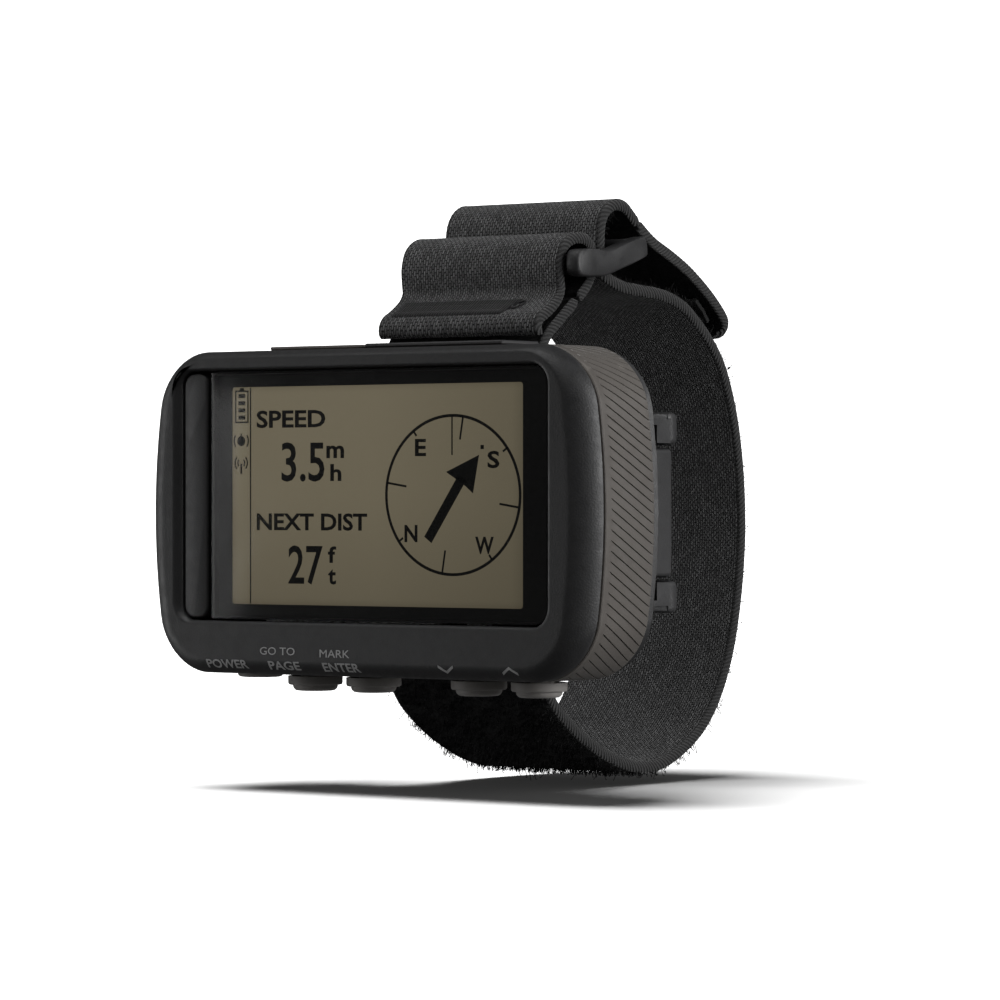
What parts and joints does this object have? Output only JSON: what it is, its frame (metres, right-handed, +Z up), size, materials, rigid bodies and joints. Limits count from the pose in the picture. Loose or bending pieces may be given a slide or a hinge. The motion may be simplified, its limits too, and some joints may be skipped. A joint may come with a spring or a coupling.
{
  "type": "handheld gps unit",
  "caption": "Wrist-worn GPS receiver: rounded two-shell case with a grey display and push buttons underneath, on a woven hook-and-loop strap with a ring buckle.",
  "frame": {"origin": "middle of the bounding box in plan, on the plane through the strap loop's lowest point", "axes": "+Z up along the display's short side, -Y the way the display faces, +X to the right of a person looking at the display"},
  "size_m": [0.0704, 0.0658, 0.0737],
  "materials": {
    "case_plastic": "fine moulded texture",
    "frame_bronze": "warm grey bronze, satin",
    "lens": "clear, with a black border printed behind it",
    "display": "olive reflective display",
    "light_guide_plastic": "frosted clear",
    "inner_plastic": "matt black",
    "button_rubber": "warm grey, matt",
    "seal_rubber": "matt black",
    "circuit_board": "green solder mask",
    "plated_metal": "nickel plated",
    "antenna_ceramic": "fired, unglazed",
    "cell_sleeve": "plain printed sleeve",
    "webbing": "woven elastic with a looped pile on the outer side",
    "thread": "bar-tacked thread",
    "hook_tape": "moulded hooks"
  },
  "bodies": {
    "case": {"front_bezel": "case_plastic", "nameplate_strip": "case_plastic", "display_lens": "lens", "mid_frame": "frame_bronze", "rear_cover": "case_plastic", "top_rib": "case_plastic", "front_seal": "seal_rubber", "rear_seal": "seal_rubber", "lens_gasket": "seal_rubber", "lcd_panel": "display", "light_guide": "light_guide_plastic", "lcd_holder": "inner_plastic", "main_board": "circuit_board", "gps_antenna": "antenna_ceramic", "usb_port": "plated_metal", "beeper": "inner_plastic", "radio_shield": "plated_metal", "compass_sensor": "inner_plastic", "switch_board": "circuit_board", "key_mat": "button_rubber", "contact_bridge": "plated_metal", "contact_plate_upper": "plated_metal", "contact_plate_lower": "plated_metal", "contact_spring_left": "plated_metal", "contact_spring_right": "plated_metal", "door_seal": "seal_rubber", "battery_cell_1": "cell_sleeve", "battery_cell_2": "cell_sleeve", "power_switch": "plated_metal", "page_switch": "plated_metal", "enter_switch": "plated_metal", "down_switch": "plated_metal", "up_switch": "plated_metal", "page_boot": "button_rubber", "enter_boot": "button_rubber", "down_boot": "button_rubber", "up_boot": "button_rubber", "case_screw_lower_left": "plated_metal", "case_screw_lower_right": "plated_metal", "case_screw_upper_left": "plated_metal", "case_screw_upper_right": "plated_metal", "strap_loop": "webbing", "strap_fold": "webbing", "stitch_bar": "thread"},
    "power_key": {"power_button": "button_rubber"},
    "page_key": {"page_button": "button_rubber"},
    "enter_key": {"enter_button": "button_rubber"},
    "down_key": {"down_button": "button_rubber"},
    "up_key": {"up_button": "button_rubber"},
    "door": {"battery_door": "case_plastic"},
    "latch": {"door_latch": "plated_metal"},
    "socket_cap": {"usb_cap": "button_rubber"},
    "buckle_ring": {"buckle": "case_plastic", "strap_arch": "webbing"},
    "tail": {"strap_tail": "webbing", "hook_patch": "hook_tape"}
  },
  "joints": [
    {"name": "power_press", "type": "slide", "parent": "case", "child": "power_key", "axis": [0, 0, 1], "range_m": [0, 0.0004], "stiffness_N_per_m": 1500},
    {"name": "page_press", "type": "slide", "parent": "case", "child": "page_key", "axis": [0, 0, 1], "range_m": [0, 0.0005], "stiffness_N_per_m": 1500},
    {"name": "enter_press", "type": "slide", "parent": "case", "child": "enter_key", "axis": [0, 0, 1], "range_m": [0, 0.0005], "stiffness_N_per_m": 1500},
    {"name": "down_press", "type": "slide", "parent": "case", "child": "down_key", "axis": [0, 0, 1], "range_m": [0, 0.0005], "stiffness_N_per_m": 1500},
    {"name": "up_press", "type": "slide", "parent": "case", "child": "up_key", "axis": [0, 0, 1], "range_m": [0, 0.0005], "stiffness_N_per_m": 1500},
    {"name": "door_slide", "type": "slide", "parent": "case", "child": "door", "axis": [1, 0, 0], "range_m": [0, 0.061]},
    {"name": "latch_turn", "type": "hinge", "parent": "door", "child": "latch", "pos_m": [0.0205, -0.01493, 0.03373], "axis": [0, 1, 0], "range_deg": [0, 90]},
    {"name": "socket_cap_lift", "type": "hinge", "parent": "case", "child": "socket_cap", "pos_m": [0.008, -0.02033, 0.05423], "axis": [-1, 0, 0], "range_deg": [0, 110]},
    {"name": "buckle_tilt", "type": "hinge", "parent": "case", "child": "buckle_ring", "pos_m": [0, -0.00423, 0.06503], "axis": [1, 0, 0], "range_deg": [0, 18]},
    {"name": "tail_peel", "type": "hinge", "parent": "buckle_ring", "child": "tail", "pos_m": [0, 0.00997, 0.07103], "axis": [1, 0, 0], "range_deg": [0, 120]}
  ]
}
